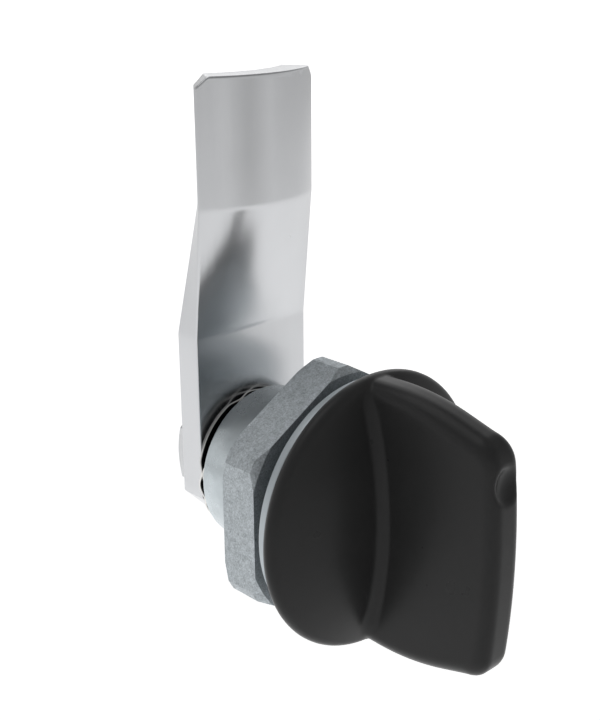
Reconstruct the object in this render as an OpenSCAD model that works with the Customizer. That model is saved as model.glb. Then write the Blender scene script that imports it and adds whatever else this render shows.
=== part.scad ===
// Quarter-turn cam latch with a wing knob, for a sheet-metal panel.
// The turning axis is Y: the knob is on the -Y side, the cam on the +Y side and points up (+Z) at rest.
// The origin is where the axis meets the back of the flange, which lies against the panel.

/* [Housing] */
// Outer diameter of the barrel's thread
thread_d = 22; // [20:0.5:24]
// Length of the barrel behind the flange
barrel_len = 18; // [14:0.5:24]
// Depth of the flat on the barrel, which keeps the latch from turning in its hole
flat_depth = 0.95; // [0.3:0.05:1.4]
// Diameter of the flange
flange_d = 33.7; // [30:0.1:36]
// Thickness of the flange
flange_t = 1.7; // [1.2:0.1:3]
// Bevel on the flange's front edge
flange_bevel = 0.6; // [0.2:0.1:1]
// Bevel on the barrel's free end
barrel_bevel = 0.3; // [0.1:0.1:0.8]

/* [Nut] */
// Width of the hexagon nut across its flats
nut_af = 32; // [30:0.5:34]
// Thickness of the nut
nut_t = 5.8; // [4:0.1:8]
// Amount by which the nut is turned down across its corners
corner_turn = 0.95; // [0.2:0.05:2]
// Width of the bevel that rounds off the nut's corners at both faces
nut_bevel = 1; // [0.4:0.1:1.5]
// Room between flange and nut, for the panel
panel_room = 1.7; // [0.8:0.1:6]

/* [Knob] */
// Diameter of the knob's disc
knob_d = 37; // [34.5:0.5:42]
// Radius of the disc's round rim
rim_r = 1.3; // [0.8:0.1:2]
// Radius of the domed face of the disc
dome_r = 52; // [40:1:80]
// Distance from the disc's back to the front of the wing
wing_len = 22.75; // [18:0.05:30]
// Distance of the wing's foot from the disc's rim
wing_inset = 0.3; // [0.1:0.05:3]
// Distance by which the wing draws in at each end, from its foot to its front
wing_draw = 2.25; // [0.5:0.05:4]
// Height by which the wing's ends bulge between foot and front
wing_bulge = 0.9; // [0.4:0.1:2]
// Thickness of the wing at its base
wing_base_t = 5.5; // [4.8:0.1:7]
// Thickness of the wing at its front
wing_front_t = 5.2; // [3.6:0.1:5.4]
// Radius of the wing's front corners
wing_corner_r = 3.9; // [2.5:0.1:5]
// Height by which the wing's front edge bulges in the middle
wing_crown = 1.1; // [0.3:0.1:1.5]
// Radius of the round along the wing's two ends
wing_side_r = 2.2; // [1.4:0.1:2.4]
// Thickness of the disc behind the wing's rounded foot
wing_cover = 0.5; // [0.2:0.1:1]
// Radius of the round along the wing's front
wing_edge_r = 1.5; // [0.8:0.1:1.6]
// Radius of the fillet between wing and disc
wing_fillet_r = 1.5; // [0.8:0.1:1.8]
// Diameter of the round indicator recess in the wing's front
dot_d = 4.8; // [3:0.1:6]
// Depth of the indicator recess
dot_depth = 0.9; // [0.4:0.1:1.2]
// Height of the indicator recess above the axis
dot_z = 10.5; // [6:0.1:12]

/* [Spindle] */
// Diameter of the spindle where it turns in the barrel
spindle_d = 14; // [12:0.5:15]
// Square end that carries the cam, across its flats
square_w = 10; // [9:0.1:11]
// Step from the spindle's round to the rounded corners of its square
corner_step = 0.2; // [0.1:0.05:0.4]
// Distance by which the square ends short of the cam's back, so that the screw clamps the cam
clamp_room = 0.2; // [0.1:0.05:0.5]
// Width of the plate that locks the spindle in the knob
plate_w = 15; // [12:0.5:16]
// Thickness of that plate
plate_t = 2; // [1.2:0.1:2.4]
// Thickness of the knob behind that plate
plate_cover = 0.8; // [0.5:0.1:1]
// Thickness of the tongue that reaches into the wing
tongue_t = 1.8; // [1:0.1:2]
// Width of the tongue
tongue_w = 14; // [8:0.5:18]
// Length of the tongue in front of the plate
tongue_len = 8; // [4:0.5:12]
// Angle at which the stop lug begins
lug_start = 100; // [0:5:200]
// Angle that the stop lug covers
lug_angle = 70; // [40:5:110]
// Depth of the stop lug behind the flange's front
lug_depth = 4.5; // [3:0.5:7]
// Height of the stop lug above the spindle
lug_height = 1.8; // [1:0.1:2]
// Thickness of the sealing ring's cord
seal_cord = 1.7; // [1.2:0.1:2]
// Distance of the sealing ring from the barrel's free end
seal_back = 7; // [4:0.5:8]

/* [Cam] */
// Thickness of the cam's steel strip
cam_t = 4; // [3:0.1:5]
// Width of the cam at its hub
cam_w = 19.5; // [18:0.5:24]
// Distance from the axis to the cam's tip
cam_reach = 53.6; // [48:0.1:70]
// Distance from the axis to the cam's chamfered lower end
cam_tail = 10.2; // [9:0.1:12]
// Width of the chamfers at the lower end
tail_chamfer = 7; // [4:0.1:8]
// Height of the lower bend above the axis
bend_low_z = 19.5; // [16:0.1:24]
// Height of the upper bend above the axis
bend_high_z = 37; // [32:0.1:44]
// Distance that the curved end stands in front of the hub
cam_offset = 4.85; // [2:0.05:7]
// Outer radius of the curved end
end_r = 16.3; // [13:0.1:30]
// Width of the curved end across its edges
end_w = 19.8; // [18:0.1:23]
// Chamfer on the corners of the tip
tip_chamfer = 1.4; // [0.5:0.1:3]
// Rounding of the two bends, measured along the strip
bend_soft = 0.8; // [0.4:0.1:5]

/* [Wave spring] */
// Room between the barrel's end and the cam, which the spring fills
spring_room = 1.65; // [1.2:0.05:2.2]
// Distance of the wave spring's edge from the barrel's outside
spring_inset = 0.7; // [0.3:0.1:1]
// Width of the spring's strip
spring_w = 2.7; // [1.5:0.1:2.8]
// Thickness of the spring's strip
spring_t = 0.25; // [0.15:0.05:0.35]
// Angle covered by one dip of the spring
dip_angle = 22; // [14:1:30]
// Angle by which the dips are turned from the upright
dip_turn = -6; // [-40:1:40]

/* [Cam screw] */
// Diameter of the screw's thread
screw_d = 8; // [6:0.5:8]
// Length of the screw under its head
screw_len = 14; // [10:0.5:16]
// Width of the hexagon head across its flats
head_af = 13; // [11:0.5:15]
// Height of the hexagon head
head_h = 5.3; // [4:0.1:6]
// Width of the bevel on the head's free end
head_bevel = 1.3; // [0.6:0.1:2]
// Room beyond the screw's end in its tapped hole
tap_room = 1; // [0.5:0.1:2]

/* [Fits] */
// Gap all round the spindle in the barrel
turn_gap = 0.05; // [0.03:0.01:0.1]
// Gap between the flange and the turning knob
knob_gap = 0.3; // [0.2:0.05:0.6]
// Gap around pieces that are fitted firmly
fit_gap = 0.05; // [0.02:0.01:0.1]
// Angle that the stop lug stays clear of its end walls
stop_gap = 1; // [0.5:0.5:3]
// Angle through which the knob turns
turn_angle = 90; // [60:5:90]

/* [Hidden] */
$fn = 96;
// Overlap of pieces that are joined, and of cuts past the face that they open
eps = 0.5;

// Places along the axis
flange_front = -flange_t;
knob_back = flange_front - knob_gap;
knob_front = knob_back - wing_len;
nut_front = panel_room;
cam_front = barrel_len + spring_room;
cam_back = cam_front + cam_t;

// Housing and nut
flat_to_axis = thread_d / 2 - flat_depth;
nut_corner_d = nut_af / cos(30) - corner_turn;

// Knob: the dome runs tangent into the round rim
rim_y = knob_back - rim_r;
rim_ring_r = knob_d / 2 - rim_r;
dome_y = rim_y + sqrt(pow(dome_r - rim_r, 2) - pow(rim_ring_r, 2));
dome_top = dome_y - dome_r;

// Wing: its outline is followed by balls, hulled into one rounded body
wing_root_y = knob_back - wing_cover - wing_side_r;
wing_base_w = knob_d - 2 * wing_inset;
wing_front_w = wing_base_w - 2 * wing_draw;
crown_r = (pow(wing_front_w / 2, 2) + pow(wing_crown, 2)) / (2 * wing_crown);
crown_y = knob_front + crown_r;
corner_z = wing_front_w / 2 - wing_corner_r;
corner_y = crown_y - sqrt(pow(crown_r - wing_corner_r, 2) - pow(corner_z, 2));
fillet_foot = wing_half(dome_top - wing_fillet_r);
fillet_x = fillet_foot + wing_fillet_r;
fillet_off = sqrt(pow(dome_r + wing_fillet_r, 2) - pow(fillet_x, 2));
fillet_turn = asin((wing_base_w / 2 - rim_r) / dome_r);
dot_ball_r = (pow(dot_d / 2, 2) + pow(dot_depth, 2)) / (2 * dot_depth);
dot_front_y = crown_y - sqrt(pow(crown_r, 2) - pow(dot_z, 2));

// Spindle and bore
bore_d = spindle_d + 2 * turn_gap;
plate_back = knob_back - plate_cover;
plate_front = plate_back - plate_t;
lug_r = spindle_d / 2 + lug_height;
stop_depth = lug_depth + knob_gap;
seal_y = barrel_len - seal_back;
seal_floor_r = bore_d / 2 - seal_cord - fit_gap;
seal_ring_r = (seal_floor_r + bore_d / 2) / 2;
square_end_y = cam_back - clamp_room;
tap_end_y = cam_back - screw_len - tap_room;

// Cam: half the angle of the curved end, and how far the bends lie higher on the back than on the front
arc_half = asin(end_w / 2 / end_r);
bend_slope = atan(cam_offset / (bend_high_z - bend_low_z));
bend_lift = cam_t * tan(bend_slope / 2);
cam_columns = 24;

// Wave spring
spring_d = thread_d - 2 * spring_inset;
spring_steps = 144;

// Stands children on the turning axis at the depth y, their own Z pointing along +Y
module on_axis(y = 0) {
    translate([0, y, 0])
        rotate([-90, 0, 0])
            children();
}

// Hexagon prism with two of its flats facing +X and -X
module hex_prism(af, height) {
    rotate([0, 0, 30])
        cylinder(d = af / cos(30), h = height, $fn = 6);
}

// Round blank with a 30 degree bevel at its far end, and at its near end too where both is set
module bevelled_blank(d, height, bevel, both) {
    bevel_h = bevel * tan(30);
    start = both ? bevel_h : 0;
    if (both)
        cylinder(d1 = d - 2 * bevel, d2 = d, h = bevel_h);
    translate([0, 0, start])
        cylinder(d = d, h = height - start - bevel_h);
    translate([0, 0, height - bevel_h])
        cylinder(d1 = d, d2 = d - 2 * bevel, h = bevel_h);
}

// Sector of a ring between two radii, starting at the angle start
module ring_sector(inner, outer, height, start, angle) {
    rotate([0, 0, start])
        rotate_extrude(angle = angle)
            translate([inner, 0])
                square([outer - inner, height]);
}

// Disc of the knob: flat back, round rim and domed face
module knob_disc() {
    rim_face_y = dome_y - knob_back;
    on_axis(knob_back)
        rotate_extrude() {
            intersection() {
                translate([0, rim_face_y])
                    circle(r = dome_r, $fn = 256);
                translate([0, -dome_r])
                    square([rim_ring_r * dome_r / (dome_r - rim_r), dome_r - rim_r]);
            }
            translate([0, -rim_r])
                square([rim_ring_r, rim_r]);
            translate([rim_ring_r, -rim_r])
                circle(r = rim_r);
        }
}

// Half thickness of the wing at the depth y
function wing_half(y) =
    let (share = (y - knob_front) / (wing_root_y - knob_front))
    (wing_front_t + (wing_base_t - wing_front_t) * share) / 2;

// Half width of the wing at a share of the way from its foot to its front corner
function wing_side(share) =
    wing_base_w / 2 - wing_draw * share + 4 * wing_bulge * share * (1 - share);

// Radius of the wing's rounded edge: wide along the ends, where the turn is 0, and smaller at the front
function wing_round(turn, y) =
    min(wing_side_r + (wing_edge_r - wing_side_r) * turn / 90, wing_half(y));

// Balls along the wing's upper half outline, as [y, z, radius]
function wing_path() =
    let (
        side = [for (share = [0 : 0.2 : 0.8])
            let (
                y = wing_root_y + (corner_y - wing_root_y) * share,
                r = wing_round(0, y)
            )
            [y, wing_side(share) - r, r]],
        corner = [for (a = [0 : 15 : 90])
            let (r = wing_round(a, corner_y))
            [corner_y - (wing_corner_r - r) * sin(a), corner_z + (wing_corner_r - r) * cos(a), r]],
        front = [for (share = [0.75, 0.5, 0.25, 0])
            let (z = corner_z * share)
            [crown_y - sqrt(pow(crown_r - wing_edge_r, 2) - z * z), z, wing_edge_r]]
    )
    concat(side, corner, front);

// Wing of the knob: one rounded, tapered body
module wing() {
    hull()
        for (point = wing_path(), side = [-1, 1], half = [-1, 1])
            translate([side * (wing_half(point[0]) - point[2]), point[0], half * point[1]])
                sphere(r = point[2], $fn = 24);
}

// Fillet between one flank of the wing and the dome, turned about the dome's centre
module wing_fillet() {
    foot_x = fillet_x * dome_r / (dome_r + wing_fillet_r);
    translate([0, dome_y, 0])
        rotate([0, 90, 0])
            rotate([0, 0, -90 - fillet_turn])
                rotate_extrude(angle = 2 * fillet_turn, $fn = 256)
                    difference() {
                        translate([dome_r - 2 * wing_fillet_r, fillet_foot - eps])
                            square([fillet_off - dome_r + 2 * wing_fillet_r, foot_x - fillet_foot + eps]);
                        translate([fillet_off, fillet_x])
                            circle(r = wing_fillet_r);
                    }
}

// The part of the spindle that the knob is moulded around, grown by gap
module spindle_root(gap) {
    translate([-plate_w / 2 - gap, plate_front - gap, -plate_w / 2 - gap])
        cube([plate_w + 2 * gap, plate_t + 2 * gap, plate_w + 2 * gap]);
    translate([-tongue_t / 2 - gap, plate_front - tongue_len - gap, -tongue_w / 2 - gap])
        cube([tongue_t + 2 * gap, tongue_len + eps, tongue_w + 2 * gap]);
    on_axis(plate_back - eps)
        cylinder(d = spindle_d + 2 * gap, h = plate_cover + 2 * eps);
}

// Black knob: disc, wing, fillets and the indicator recess
module wing_knob() {
    color([0.13, 0.13, 0.13])
        difference() {
            union() {
                knob_disc();
                wing();
                wing_fillet();
                mirror([1, 0, 0])
                    wing_fillet();
            }
            translate([0, dot_front_y + dot_depth - dot_ball_r, dot_z])
                sphere(r = dot_ball_r, $fn = 64);
            spindle_root(fit_gap);
        }
}

// Spindle: root in the knob, stop lug, journal with the seal's groove, and the square for the cam
module spindle() {
    color([0.62, 0.63, 0.64])
        difference() {
            union() {
                spindle_root(0);
                on_axis(knob_back)
                    cylinder(d = spindle_d, h = cam_front - knob_back);
                on_axis(flange_front)
                    ring_sector(spindle_d / 2 - eps, lug_r, lug_depth, lug_start, lug_angle);
                on_axis(cam_front - eps)
                    intersection() {
                        translate([-square_w / 2, -square_w / 2, 0])
                            cube([square_w, square_w, square_end_y - cam_front + eps]);
                        cylinder(d = spindle_d - 2 * corner_step, h = cam_t + eps);
                    }
            }
            on_axis(seal_y - seal_cord / 2 - fit_gap)
                rotate_extrude()
                    translate([seal_floor_r, 0])
                        square([seal_cord + eps, seal_cord + 2 * fit_gap]);
            on_axis(tap_end_y)
                cylinder(d = screw_d, h = cam_back - tap_end_y);
        }
}

// Rubber sealing ring in the spindle's groove
module spindle_seal() {
    color([0.07, 0.07, 0.07])
        on_axis(seal_y)
            rotate_extrude()
                translate([seal_ring_r, 0])
                    circle(d = seal_cord);
}

// Housing: flange, barrel with its flat, bore and the groove for the stop lug
module housing() {
    color([0.72, 0.73, 0.74])
        difference() {
            union() {
                on_axis(flange_front)
                    cylinder(d1 = flange_d - 2 * flange_bevel, d2 = flange_d, h = flange_bevel);
                on_axis(flange_front + flange_bevel)
                    cylinder(d = flange_d, h = flange_t - flange_bevel);
                difference() {
                    union() {
                        on_axis(-eps)
                            cylinder(d = thread_d, h = barrel_len - barrel_bevel + eps);
                        on_axis(barrel_len - barrel_bevel)
                            cylinder(d1 = thread_d, d2 = thread_d - 2 * barrel_bevel, h = barrel_bevel);
                    }
                    translate([flat_to_axis, 0, -thread_d])
                        cube([thread_d, barrel_len + eps, 2 * thread_d]);
                }
            }
            on_axis(flange_front - eps)
                cylinder(d = bore_d, h = flange_t + barrel_len + 2 * eps);
            on_axis(flange_front - eps)
                ring_sector(spindle_d / 2 - eps, lug_r + fit_gap * 2, stop_depth + eps,
                    lug_start - stop_gap, lug_angle + turn_angle + 2 * stop_gap);
        }
}

// Hexagon nut, its corners turned down and bevelled at both faces
module hex_nut() {
    color([0.66, 0.67, 0.67])
        on_axis(nut_front)
            difference() {
                intersection() {
                    hex_prism(nut_af, nut_t);
                    bevelled_blank(nut_corner_d, nut_t, nut_bevel, true);
                }
                translate([0, 0, -eps])
                    cylinder(d = thread_d + 2 * fit_gap, h = nut_t + 2 * eps);
            }
}

// Height of the spring's strip at an angle: 1 at the cam, 0 at the barrel, with a pair of dips each quarter
function spring_wave(angle) =
    let (
        turned = angle - dip_turn + 360 + 45,
        off = turned - 90 * floor(turned / 90) - 45
    )
    abs(off) < dip_angle ? (1 + cos(360 * off / dip_angle)) / 2 : 1;

// Wave spring: a thin strip bent into paired dips round the ring
module wave_spring() {
    low = turn_gap + spring_t / 2;
    high = spring_room - spring_t / 2;
    inner = spring_d / 2 - spring_w;
    points = [for (i = [0 : spring_steps - 1])
        let (
            angle = 360 * i / spring_steps,
            middle = low + (high - low) * spring_wave(angle)
        )
        for (corner = [[0, -1], [1, -1], [1, 1], [0, 1]])
            let (radius = inner + spring_w * corner[0])
            [radius * cos(angle), radius * sin(angle), middle + corner[1] * spring_t / 2]];
    faces = [for (i = [0 : spring_steps - 1], k = [0 : 3])
        let (
            a = 4 * i + k,
            b = 4 * i + (k + 1) % 4,
            c = 4 * ((i + 1) % spring_steps) + (k + 1) % 4,
            d = 4 * ((i + 1) % spring_steps) + k
        )
        for (triangle = [[a, b, c], [a, c, d]]) triangle];
    color([0.75, 0.75, 0.74])
        on_axis(barrel_len)
            polyhedron(points, faces);
}

// Share of the way from the flat hub to the curved end at the height z, with softened bends
function cam_share(z) =
    let (
        span = bend_high_z - bend_low_z,
        low = max(0, z - bend_low_z + bend_soft / 2),
        high = max(0, z - bend_high_z + bend_soft / 2)
    )
    (bend_rise(low) - bend_rise(high)) / span;

// A straight rise that starts with a soft bend
function bend_rise(d) = d < bend_soft ? d * d / (2 * bend_soft) : d - bend_soft / 2;

// Point of the cam's front (depth 0) or back (depth cam_t) at the side s from -1 to 1
function cam_point(s, z, depth) =
    let (
        angle = s * arc_half,
        end_y = cam_front - cam_offset + end_r - (end_r - depth) * cos(angle),
        hub_y = cam_front + depth,
        slope = atan((hub_y - end_y) / (bend_high_z - bend_low_z)),
        share = cam_share(z - depth * tan(slope / 2)),
        x = s * cam_w / 2 * (1 - share) + (end_r - depth) * sin(angle) * share
    )
    [x, hub_y * (1 - share) + end_y * share, z];

// Heights of the cam's rows, close together at the bends
function cam_rows() =
    let (
        pad = bend_soft / 2,
        bend = 2 * pad + bend_lift
    )
    concat(
        [-cam_tail],
        [for (i = [0 : 5]) bend_low_z - pad + bend * i / 5],
        [for (i = [1 : 3]) bend_low_z + pad + (bend_high_z - bend_low_z - 2 * pad) * i / 4],
        [for (i = [0 : 5]) bend_high_z - pad + bend * i / 5],
        [cam_reach]
    );

// The two triangles of a four-cornered face, in its own order or turned round
function quad_faces(q, forward) =
    forward ? [[q[0], q[1], q[2]], [q[0], q[2], q[3]]] : [[q[2], q[1], q[0]], [q[3], q[2], q[0]]];

// Steel strip of the cam before its hole and corners are cut
module cam_strip() {
    rows = cam_rows();
    count = len(rows);
    columns = cam_columns + 1;
    sheet = count * columns;
    points = [for (depth = [0, cam_t], z = rows, k = [0 : cam_columns])
        cam_point(2 * k / cam_columns - 1, z, depth)];
    front = [for (r = [0 : count - 2], k = [0 : cam_columns - 1])
        let (a = r * columns + k)
        for (triangle = [[a, a + columns, a + columns + 1], [a, a + columns + 1, a + 1]]) triangle];
    back = [for (triangle = front) [triangle[2] + sheet, triangle[1] + sheet, triangle[0] + sheet]];
    ends = [for (k = [0 : cam_columns - 1], r = [0, count - 1])
        let (
            a = r * columns + k,
            quad = [a, a + 1, a + 1 + sheet, a + sheet]
        )
        for (triangle = quad_faces(quad, r == 0)) triangle];
    sides = [for (r = [0 : count - 2], k = [0, cam_columns])
        let (
            a = r * columns + k,
            quad = [a, a + sheet, a + columns + sheet, a + columns]
        )
        for (triangle = quad_faces(quad, k == 0)) triangle];
    polyhedron(points, concat(front, back, ends, sides));
}

// Prism that cuts a 45 degree corner of the width size at the point [x, z]
module corner_cut(x, z, size) {
    translate([x, cam_front - cam_offset - eps, z])
        rotate([0, 45, 0])
            translate([-size / sqrt(2), 0, -size / sqrt(2)])
                cube([size * sqrt(2), cam_t + end_r, size * sqrt(2)]);
}

// Cam: steel strip, bent forward into a curved end, with a square hole and cut corners
module cam() {
    color([0.78, 0.78, 0.79])
        difference() {
            cam_strip();
            translate([-square_w / 2 - fit_gap, cam_front - eps, -square_w / 2 - fit_gap])
                cube([square_w + 2 * fit_gap, cam_t + 2 * eps, square_w + 2 * fit_gap]);
            for (side = [-1, 1]) {
                corner_cut(side * cam_w / 2, -cam_tail, tail_chamfer);
                corner_cut(side * end_w / 2, cam_reach, tip_chamfer);
            }
        }
}

// Hexagon screw that holds the cam on the spindle
module cam_screw() {
    color([0.70, 0.70, 0.71])
        on_axis(cam_back) {
            translate([0, 0, -screw_len])
                cylinder(d = screw_d - 2 * fit_gap, h = screw_len + eps);
            intersection() {
                hex_prism(head_af, head_h);
                bevelled_blank(head_af / cos(30), head_h, head_bevel, false);
            }
        }
}

wing_knob();
spindle();
spindle_seal();
housing();
hex_nut();
wave_spring();
cam();
cam_screw();
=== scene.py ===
# %% [markdown]
# # A quarter-turn cam latch
# A black wing knob turns a spindle inside a round housing. The housing goes through a hole in a
# sheet-metal panel, and a hexagon nut holds it there. On the far end of the spindle sits a bent
# steel cam, pressed away from the housing by a wave spring and held by a hexagon screw.
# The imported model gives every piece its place, so this lesson only makes the skins and finishes.

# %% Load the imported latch
import math

import bmesh
import bpy
import numpy as np
from mathutils import Matrix, Vector


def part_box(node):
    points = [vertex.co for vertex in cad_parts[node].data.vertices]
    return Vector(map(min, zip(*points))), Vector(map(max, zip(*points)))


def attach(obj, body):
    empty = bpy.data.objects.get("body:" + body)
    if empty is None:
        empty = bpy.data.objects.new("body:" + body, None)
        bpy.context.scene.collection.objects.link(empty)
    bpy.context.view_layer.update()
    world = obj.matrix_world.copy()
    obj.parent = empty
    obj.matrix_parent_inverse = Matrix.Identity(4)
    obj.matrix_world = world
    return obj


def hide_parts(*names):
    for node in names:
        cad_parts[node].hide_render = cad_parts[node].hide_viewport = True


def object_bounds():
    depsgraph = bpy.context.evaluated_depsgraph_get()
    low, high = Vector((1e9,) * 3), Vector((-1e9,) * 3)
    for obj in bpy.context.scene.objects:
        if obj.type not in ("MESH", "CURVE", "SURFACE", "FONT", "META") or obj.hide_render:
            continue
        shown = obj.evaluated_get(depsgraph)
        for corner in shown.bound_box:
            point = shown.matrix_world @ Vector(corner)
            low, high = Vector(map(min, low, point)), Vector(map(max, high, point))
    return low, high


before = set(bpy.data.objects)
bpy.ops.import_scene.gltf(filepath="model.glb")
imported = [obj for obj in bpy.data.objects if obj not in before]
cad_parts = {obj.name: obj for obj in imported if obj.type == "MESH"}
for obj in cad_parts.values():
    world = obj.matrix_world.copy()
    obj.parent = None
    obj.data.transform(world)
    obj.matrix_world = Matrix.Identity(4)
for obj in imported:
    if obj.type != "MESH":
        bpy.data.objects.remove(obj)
cad_low, cad_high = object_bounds()
MM = 0.001


def span(node):
    """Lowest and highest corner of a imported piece, in millimetres."""
    low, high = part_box(node)
    return np.array(low) / MM, np.array(high) / MM


for name in sorted(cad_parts):
    low, high = span(name)
    print(f"{name}: {np.round(high - low, 2)} mm")

# %% [markdown]
# ## Helpers that every piece shares
# All the pieces are meshes in millimetres while they are being made, and are scaled to metres at the
# end. `add_piece` puts a finished mesh in the scene, lets it ride on its body, and hides the plain
# solid that it stands for. Smooth shading with area-weighted normals keeps broad faces flat and lets
# narrow rounded edges catch the light.

# %% Put a finished mesh in the scene
def add_piece(name, mesh, node, body, weighted=True, crease=180):
    """A visible piece: the mesh in millimetres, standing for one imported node."""
    mesh.transform(Matrix.Scale(MM, 4))
    mesh.shade_smooth()
    mesh.set_sharp_from_angle(angle=math.radians(crease))
    piece = bpy.data.objects.new(name, mesh)
    bpy.context.scene.collection.objects.link(piece)
    if weighted:
        normals = piece.modifiers.new("even normals", "WEIGHTED_NORMAL")
        normals.weight = 100
        normals.keep_sharp = True
    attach(piece, body)
    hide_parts(node)
    print(f"{name}: {len(mesh.vertices)} vertices, {len(mesh.polygons)} faces")
    return piece


def to_mesh(bm, name):
    """A mesh from an edited one, with its faces turned outwards."""
    bmesh.ops.recalc_face_normals(bm, faces=bm.faces)
    mesh = bpy.data.meshes.new(name)
    bm.to_mesh(mesh)
    bm.free()
    return mesh


# %% [markdown]
# ## The knob's skin
# The knob is one moulded piece: a domed disc, a tapered wing, a soft fillet between them and a round
# dish for the pointer. Joining meshes and bevelling the seam would leave creases just where the light
# shows most. Instead the shape is written as a distance field, where a fillet is one formula, and a
# mesh is drawn over its zero level: one vertex in each grid cell that the surface crosses, and one
# face around each grid edge that it cuts. The vertices are then slid onto the exact surface.

# %% Sizes of the knob
# All sizes are in millimetres. Depth runs along Y and height along Z.
knob_low, knob_high = span("wing_knob")
knob_r = knob_high[0]
knob_back = knob_high[1]
knob_front = knob_low[1]
rim_r = 1.3
dome_r = 52.0
wing_inset = 0.3
wing_draw = 2.25
wing_bulge = 0.9
wing_base_half = 2.75
wing_front_half = 2.6
wing_corner_r = 3.9
wing_crown = 1.1
wing_side_r = 2.2
wing_cover = 0.5
wing_edge_r = 1.5
wing_fillet_r = 1.5
fillet_fade = 4.0
fillet_least = 0.05
dish_r = 2.4
dish_depth = 0.9
dish_z = 10.5
dish_edge_r = 0.25

rim_y = knob_back - rim_r
rim_ring_r = knob_r - rim_r
dome_y = rim_y + math.sqrt((dome_r - rim_r) ** 2 - rim_ring_r ** 2)
wing_root_y = knob_back - wing_cover - wing_side_r
wing_foot = knob_r - wing_inset
wing_shoulder = wing_foot - wing_draw
crown_r = (wing_shoulder ** 2 + wing_crown ** 2) / (2 * wing_crown)
crown_y = knob_front + crown_r
corner_z = wing_shoulder - wing_corner_r
corner_y = crown_y - math.sqrt((crown_r - wing_corner_r) ** 2 - corner_z ** 2)
dish_ball_r = (dish_r ** 2 + dish_depth ** 2) / (2 * dish_depth)
dish_y = crown_y - math.sqrt(crown_r ** 2 - dish_z ** 2) + dish_depth - dish_ball_r
print(f"knob: {2 * knob_r:.1f} mm across, {knob_back - knob_front:.1f} mm deep")


# %% Outline of the wing, seen from the side
side_points = 16
corner_points = 14
corner_sweep = 82
front_points = 14


def wing_line():
    """Points (depth, height) from the foot of the wing to the middle of its front."""
    line = [(rim_y, wing_foot)]
    for share in np.linspace(0, 1, side_points, endpoint=False):
        height = wing_foot - wing_draw * share + 4 * wing_bulge * share * (1 - share)
        line.append((wing_root_y + (corner_y - wing_root_y) * share, height))
    for swing in np.radians(np.linspace(0, corner_sweep, corner_points)):
        line.append((corner_y - wing_corner_r * math.sin(swing), corner_z + wing_corner_r * math.cos(swing)))
    start = line[-1][1]
    for height in np.linspace(start, 0, front_points)[1:]:
        line.append((crown_y - math.sqrt(crown_r ** 2 - height ** 2), height))
    return line


def bulging(line):
    """The line without its hollow stretches, as a string pulled over it would lie."""
    kept = []
    for y, z in line:
        while len(kept) > 1:
            (y0, z0), (y1, z1) = kept[-2:]
            if (y1 - y0) * (z - z1) - (z1 - z0) * (y - y1) > 0:
                break
            kept.pop()
        kept.append((y, z))
    return np.array(kept)


wing_edge = bulging(wing_line())
print(f"wing: {len(wing_edge)} points along half its outline")


# %% Distance fields of disc, wing and dish
def round_in(a, b, r):
    """What two shapes have in common, with an edge of radius r."""
    return np.minimum(np.maximum(a, b), -r) + np.hypot(np.maximum(a + r, 0), np.maximum(b + r, 0))


def round_join(a, b, r):
    """Two shapes as one, with a fillet of radius r."""
    return np.maximum(np.minimum(a, b), r) - np.hypot(np.maximum(r - a, 0), np.maximum(r - b, 0))


def disc_field(radius, y):
    """A lens between a plane and a sphere, grown by the radius of the rim."""
    plane = y - rim_y
    from_centre = np.hypot(radius, y - dome_y)
    sphere = from_centre - (dome_r - rim_r)
    corner = np.hypot(radius - rim_ring_r, plane)
    past_arc = radius * (dome_y - rim_y) > rim_ring_r * (dome_y - y)
    lens = np.where((radius > rim_ring_r) & past_arc, corner, np.maximum(plane, sphere))
    return lens - rim_r


def wing_field(x, y, z):
    """A tapered plate with a wide round along its two ends and a smaller one along its front."""
    height = np.abs(z)
    best = np.full(np.broadcast(y, z).shape, np.inf)
    for (y0, z0), (y1, z1) in zip(wing_edge[:-1], wing_edge[1:]):
        dy, dz = y1 - y0, z1 - z0
        along = np.clip(((y - y0) * dy + (height - z0) * dz) / (dy * dy + dz * dz), 0, 1)
        best = np.minimum(best, (y - y0 - along * dy) ** 2 + (height - z0 - along * dz) ** 2)
    width = np.interp(y, wing_edge[::-1, 0], wing_edge[::-1, 1])
    within = (height < width) & (y > wing_edge[-1, 0]) & (y < rim_y)
    front = np.clip((corner_y - y) / (corner_y - knob_front), 0, 1)
    edge_r = wing_side_r + (wing_edge_r - wing_side_r) * front * front * (3 - 2 * front)
    outline = np.where(within, -1, 1) * np.sqrt(best)
    taper = (y - knob_front) / (wing_root_y - knob_front)
    half = wing_front_half + (wing_base_half - wing_front_half) * taper
    return round_in(outline, np.abs(x) - half, edge_r)


def knob_field(x, y, z):
    """The whole knob: below zero inside the plastic."""
    fade = np.clip((wing_foot - np.abs(z)) / fillet_fade, fillet_least, 1)
    fillet = wing_fillet_r * np.sin(fade * math.pi / 2)
    body = round_join(disc_field(np.hypot(x, z), y), wing_field(x, y, z), fillet)
    dish = np.sqrt(x ** 2 + (y - dish_y) ** 2 + (z - dish_z) ** 2) - dish_ball_r
    return round_in(body, -dish, dish_edge_r)


# %% Draw a mesh over the zero level of a field
def slide_onto(field, points, rounds=2):
    """Moves points along the field's slope until they lie on its zero level."""
    probe = 0.02
    least_slope = 0.1
    for _ in range(rounds):
        here = field(*points.T)
        slope = np.stack([
            field(*(points + step).T) - field(*(points - step).T)
            for step in probe * np.eye(3)
        ], 1) / (2 * probe)
        steepness = np.maximum((slope ** 2).sum(1), least_slope)
        points = points - slope * (here / steepness)[:, None]
    return points


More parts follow.
